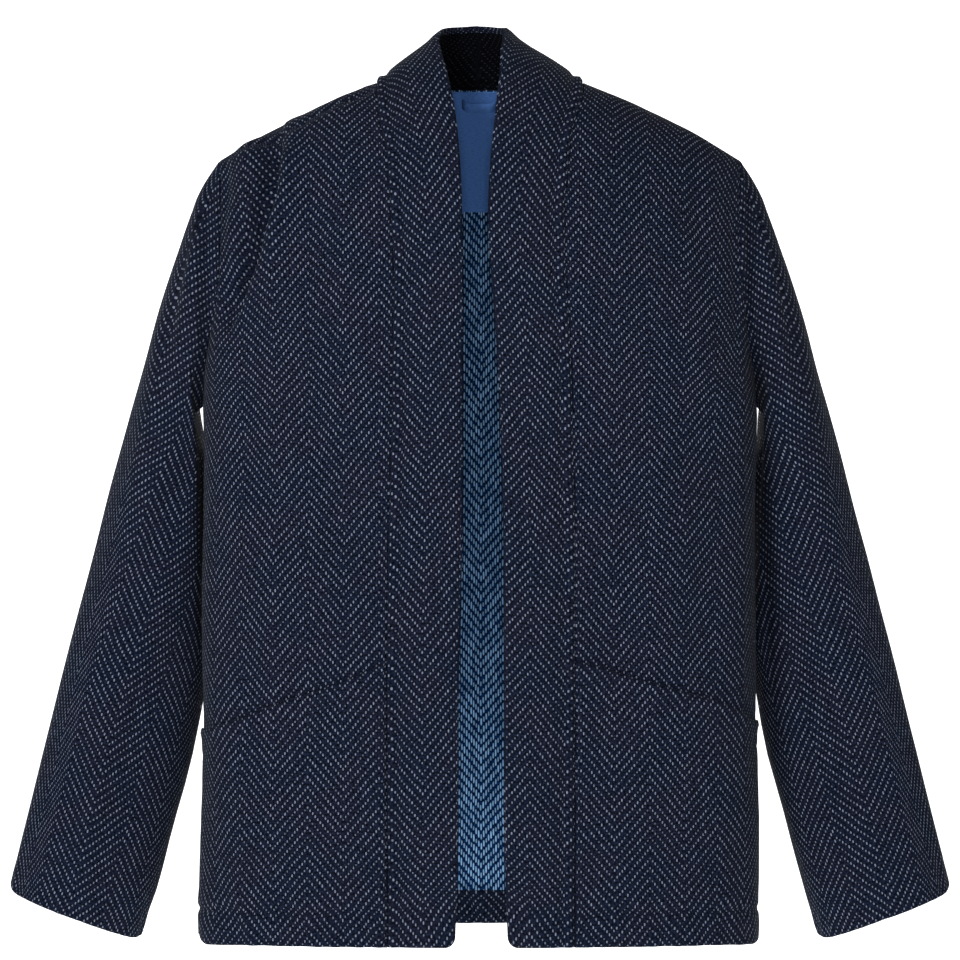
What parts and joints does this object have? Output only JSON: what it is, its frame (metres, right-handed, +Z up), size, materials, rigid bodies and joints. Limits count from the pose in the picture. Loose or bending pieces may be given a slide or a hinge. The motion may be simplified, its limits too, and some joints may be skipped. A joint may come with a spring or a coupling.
{
  "type": "haori",
  "caption": "Open front haori jacket in its worn form, hollow, with a standing collar band, hanging sleeves and slanted patch pockets.",
  "frame": {"origin": "middle of the neck base, level with the points where the shoulder seams meet the collar band, where the wearer's shoulders hold it", "axes": "+Z up, +X to the right as seen from the front, -Y is the front"},
  "size_m": [0.8038, 0.1943, 0.7733],
  "materials": {
    "indigo_cloth": "matt cotton with short pale running stitches in a herringbone",
    "plain_blue_cloth": "matt plain-woven cotton"
  },
  "bodies": {
    "root": {"back": "indigo_cloth", "front_left": "indigo_cloth", "front_right": "indigo_cloth", "collar_band": "indigo_cloth", "sleeve_left": "indigo_cloth", "sleeve_right": "indigo_cloth", "pocket_left": "indigo_cloth", "pocket_right": "indigo_cloth", "neck_facing": "plain_blue_cloth", "hanger_loop": "plain_blue_cloth"}
  },
  "joints": []
}
